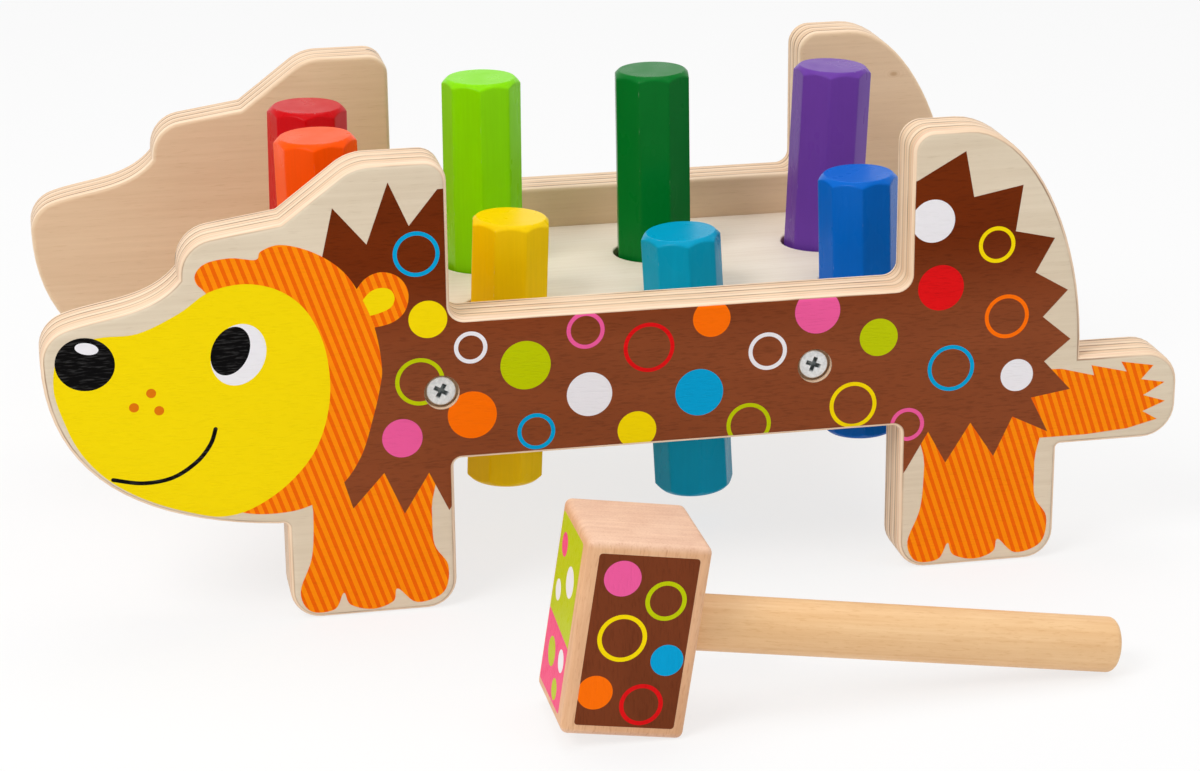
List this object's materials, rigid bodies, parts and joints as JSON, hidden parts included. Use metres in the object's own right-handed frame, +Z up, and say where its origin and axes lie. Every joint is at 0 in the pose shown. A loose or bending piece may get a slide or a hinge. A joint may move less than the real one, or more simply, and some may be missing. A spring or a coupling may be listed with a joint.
{
  "type": "peg pounding bench",
  "caption": "Wooden toy bench with animal-shaped side panels and a drilled plate whose painted octagonal pegs are driven through with a wooden mallet.",
  "frame": {"origin": "on the floor under the middle of the bench, halfway between nose and tail and between the panels", "axes": "+X from the nose to the tail, +Y from the front panel (the mallet's side) to the back one, +Z up"},
  "size_m": [0.361, 0.2705, 0.146],
  "materials": {
    "panel_plywood": "clear satin varnish",
    "plate_plywood": "clear satin varnish",
    "printed_ink": "several screen-printed inks, satin",
    "paint_red": "satin water-based paint",
    "paint_light_green": "satin water-based paint",
    "paint_dark_green": "satin water-based paint",
    "paint_purple": "satin water-based paint",
    "paint_orange": "satin water-based paint",
    "paint_yellow": "satin water-based paint",
    "paint_cyan": "satin water-based paint",
    "paint_blue": "satin water-based paint",
    "ring_rubber": "matt",
    "screw_zinc": "bright zinc",
    "mallet_beech": "clear satin varnish"
  },
  "bodies": {
    "bench": {"front_side_panel": "panel_plywood", "back_side_panel": "panel_plywood", "bench_plate": "plate_plywood", "ring_red": "ring_rubber", "ring_light_green": "ring_rubber", "ring_dark_green": "ring_rubber", "ring_purple": "ring_rubber", "ring_orange": "ring_rubber", "ring_yellow": "ring_rubber", "ring_cyan": "ring_rubber", "ring_blue": "ring_rubber", "screw_front_left": "screw_zinc", "screw_front_right": "screw_zinc", "screw_back_left": "screw_zinc", "screw_back_right": "screw_zinc"},
    "peg_red": {"peg_red": "paint_red"},
    "peg_light_green": {"peg_light_green": "paint_light_green"},
    "peg_dark_green": {"peg_dark_green": "paint_dark_green"},
    "peg_purple": {"peg_purple": "paint_purple"},
    "peg_orange": {"peg_orange": "paint_orange"},
    "peg_yellow": {"peg_yellow": "paint_yellow"},
    "peg_cyan": {"peg_cyan": "paint_cyan"},
    "peg_blue": {"peg_blue": "paint_blue"},
    "mallet": {"mallet_head": "mallet_beech", "mallet_handle": "mallet_beech"}
  },
  "joints": [
    {"name": "peg_red_slide", "type": "slide", "parent": "bench", "child": "peg_red", "axis": [0.0175, 0, 0.9998], "range_m": [-0.04931, 0.00671]},
    {"name": "peg_light_green_slide", "type": "slide", "parent": "bench", "child": "peg_light_green", "axis": [0.0052, 0, 1], "range_m": [-0.05594, 0.00034]},
    {"name": "peg_dark_green_slide", "type": "slide", "parent": "bench", "child": "peg_dark_green", "axis": [-0.0087, 0, 1], "range_m": [-0.0554, 0.0008]},
    {"name": "peg_purple_slide", "type": "slide", "parent": "bench", "child": "peg_purple", "axis": [0.0436, 0, 0.999], "range_m": [-0.05307, 0.00248]},
    {"name": "peg_orange_slide", "type": "slide", "parent": "bench", "child": "peg_orange", "axis": [-0.0175, 0, 0.9998], "range_m": [-0.05181, 0.00421]},
    {"name": "peg_yellow_slide", "type": "slide", "parent": "bench", "child": "peg_yellow", "axis": [0.0436, 0, 0.999], "range_m": [-0.02107, 0.03448]},
    {"name": "peg_cyan_slide", "type": "slide", "parent": "bench", "child": "peg_cyan", "axis": [-0.0523, 0, 0.9986], "range_m": [-0.01251, 0.04291]},
    {"name": "peg_blue_slide", "type": "slide", "parent": "bench", "child": "peg_blue", "axis": [-0.0262, 0, 0.9997], "range_m": [-0.02873, 0.02713]},
    {"name": "mallet_lift", "type": "slide", "parent": "bench", "child": "mallet", "axis": [0, 0, 1], "range_m": [0, 0.25]}
  ]
}
